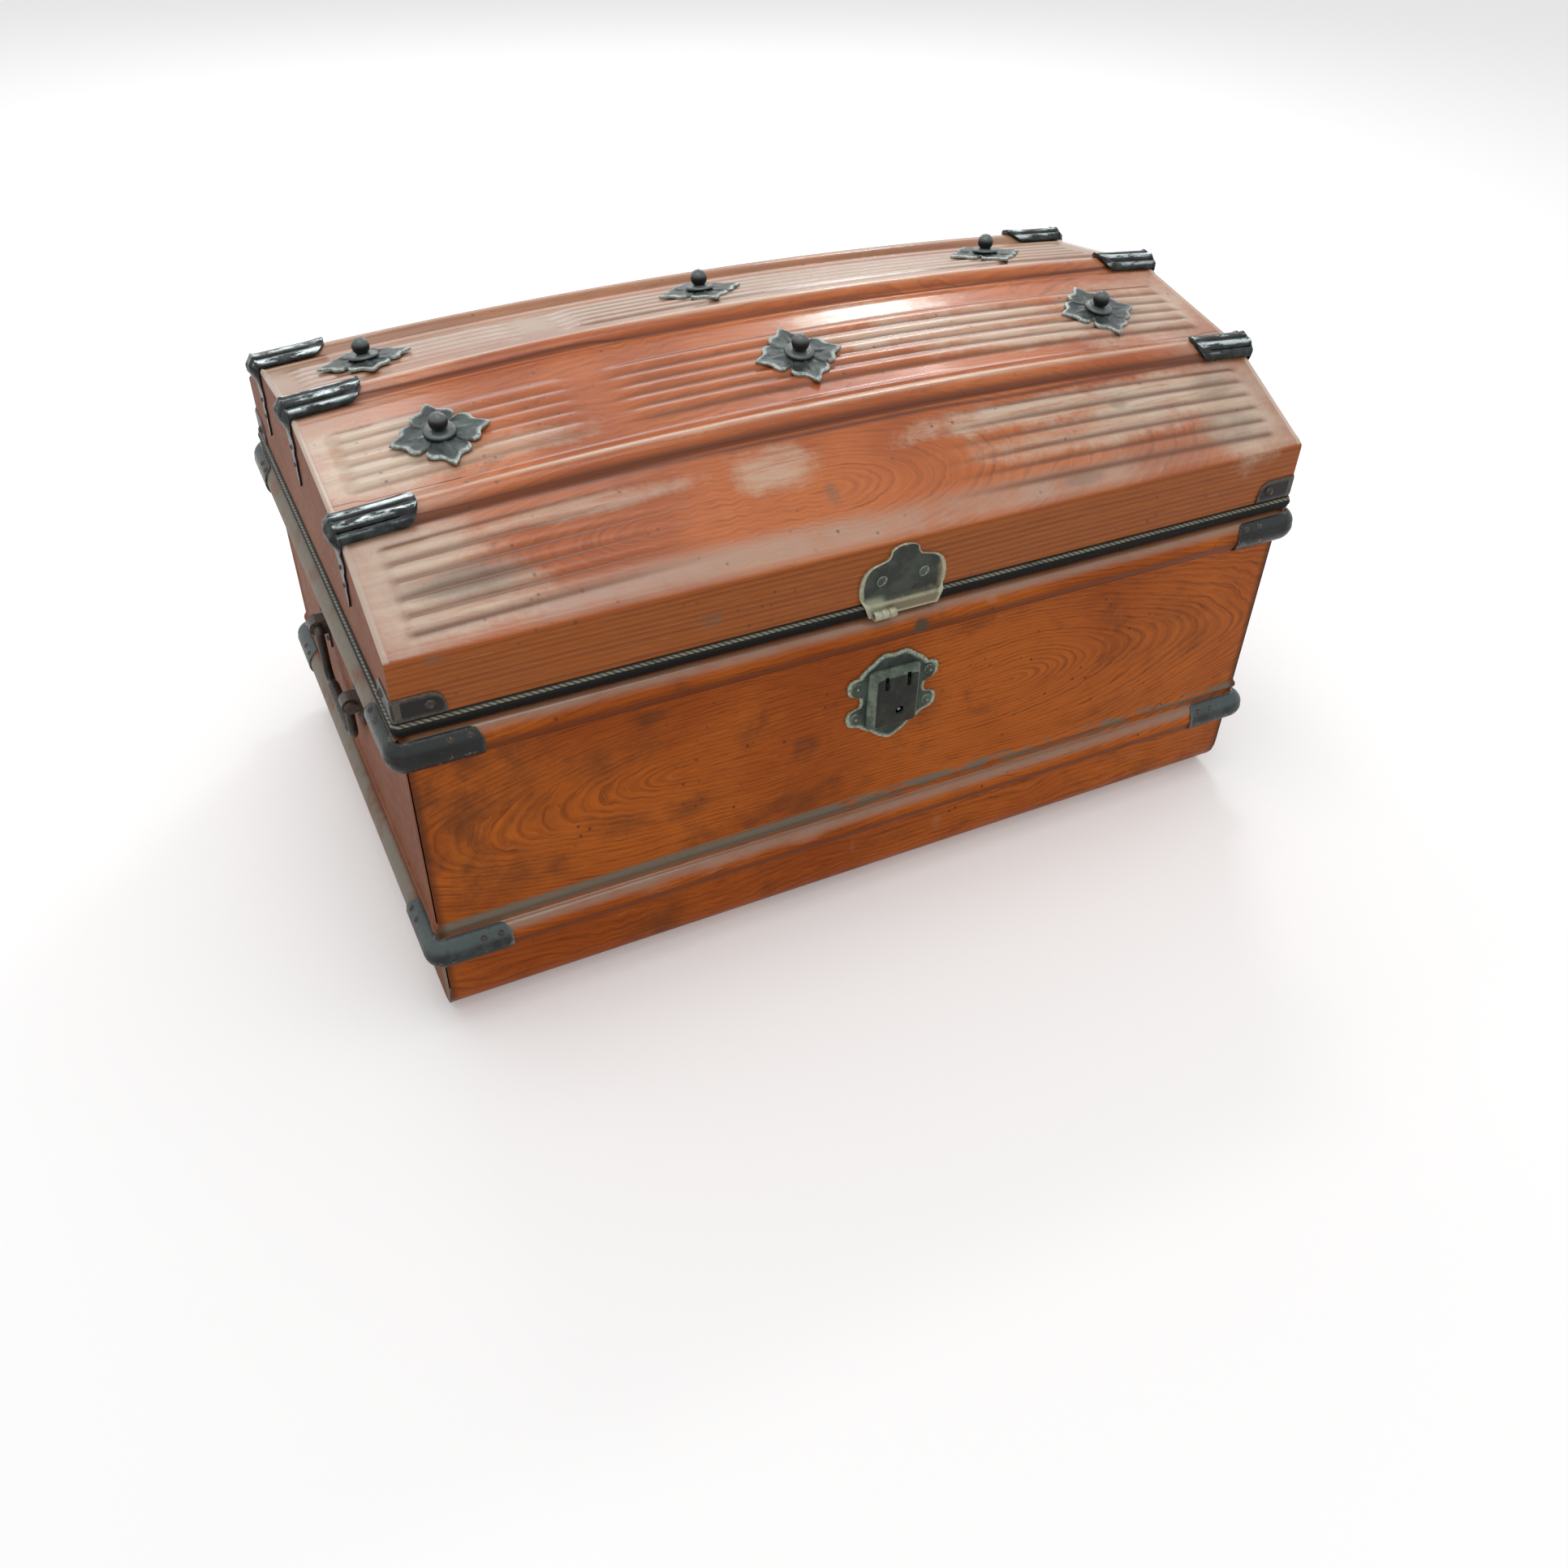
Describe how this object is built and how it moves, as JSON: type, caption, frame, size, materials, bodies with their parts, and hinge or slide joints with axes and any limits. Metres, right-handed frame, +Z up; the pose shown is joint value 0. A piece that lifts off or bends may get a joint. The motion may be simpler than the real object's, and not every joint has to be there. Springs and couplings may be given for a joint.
{
  "type": "tin trunk",
  "caption": "Small tin trunk with a crowned slatted lid, pressed beads round the body, corner clasps, bosses, a lock and drop handles.",
  "frame": {"origin": "middle of the body's underside, at floor level", "axes": "+X along the trunk's length, to the right as seen from the front; +Y towards the hinges; +Z up"},
  "size_m": [0.6358, 0.3993, 0.356],
  "materials": {
    "grained_paint": "orange-brown wood graining under worn varnish",
    "end_paint": "worn pinkish red-brown paint",
    "japanned_steel": "black japan, worn at the edges",
    "patinated_steel": "dull grey-green patina",
    "worn_steel": "dull worn steel"
  },
  "bodies": {
    "base": {"body_wrapper": "grained_paint", "left_end_panel": "end_paint", "right_end_panel": "end_paint", "body_rim": "worn_steel", "upper_clasp_front_left": "japanned_steel", "upper_clasp_front_right": "japanned_steel", "upper_clasp_back_left": "japanned_steel", "upper_clasp_back_right": "japanned_steel", "lower_clasp_front_left": "patinated_steel", "lower_clasp_front_right": "patinated_steel", "lower_clasp_back_left": "patinated_steel", "lower_clasp_back_right": "patinated_steel", "upper_clasp_nails": "japanned_steel", "lower_clasp_nails": "patinated_steel", "lock_plate": "patinated_steel", "lock_case": "patinated_steel", "lock_spring": "worn_steel", "key_post": "worn_steel", "lock_rivets": "patinated_steel", "left_handle_ears": "japanned_steel", "right_handle_ears": "japanned_steel", "handle_rivets": "japanned_steel", "left_hinge_base_leaf": "japanned_steel", "right_hinge_base_leaf": "japanned_steel", "left_hinge_pin": "worn_steel", "right_hinge_pin": "worn_steel", "hinge_base_rivets": "japanned_steel"},
    "lid": {"lid_top": "grained_paint", "lid_left_end": "end_paint", "lid_right_end": "end_paint", "lid_lip": "worn_steel", "lid_bracket_front_left": "japanned_steel", "lid_bracket_front_right": "japanned_steel", "lid_bracket_back_left": "japanned_steel", "lid_bracket_back_right": "japanned_steel", "lid_bracket_rivets": "japanned_steel", "slat_cap_front_left": "japanned_steel", "slat_cap_front_right": "japanned_steel", "slat_cap_crest_left": "japanned_steel", "slat_cap_crest_right": "japanned_steel", "slat_cap_back_left": "japanned_steel", "slat_cap_back_right": "japanned_steel", "slat_cap_nails": "japanned_steel", "boss_plate_front_left": "patinated_steel", "boss_plate_front_middle": "patinated_steel", "boss_plate_front_right": "patinated_steel", "boss_plate_back_left": "patinated_steel", "boss_plate_back_middle": "patinated_steel", "boss_plate_back_right": "patinated_steel", "boss_studs": "patinated_steel", "hasp_plate": "patinated_steel", "hasp_rivets": "patinated_steel", "left_hinge_lid_leaf": "japanned_steel", "right_hinge_lid_leaf": "japanned_steel", "hinge_lid_rivets": "japanned_steel"},
    "left_handle": {"left_handle": "japanned_steel"},
    "right_handle": {"right_handle": "japanned_steel"},
    "lock_bolt": {"lock_bolt": "worn_steel"}
  },
  "joints": [
    {"name": "lid_hinge", "type": "hinge", "parent": "base", "child": "lid", "pos_m": [0, 0.197, 0.234], "axis": [-1, 0, 0], "range_deg": [0, 105]},
    {"name": "left_handle_swing", "type": "hinge", "parent": "base", "child": "left_handle", "pos_m": [-0.3125, 0, 0.16], "axis": [0, 1, 0], "range_deg": [0, 170]},
    {"name": "right_handle_swing", "type": "hinge", "parent": "base", "child": "right_handle", "pos_m": [0.3125, 0, 0.16], "axis": [0, -1, 0], "range_deg": [0, 170]},
    {"name": "bolt_slide", "type": "slide", "parent": "base", "child": "lock_bolt", "axis": [1, 0, 0], "range_m": [0, 0.005]}
  ]
}
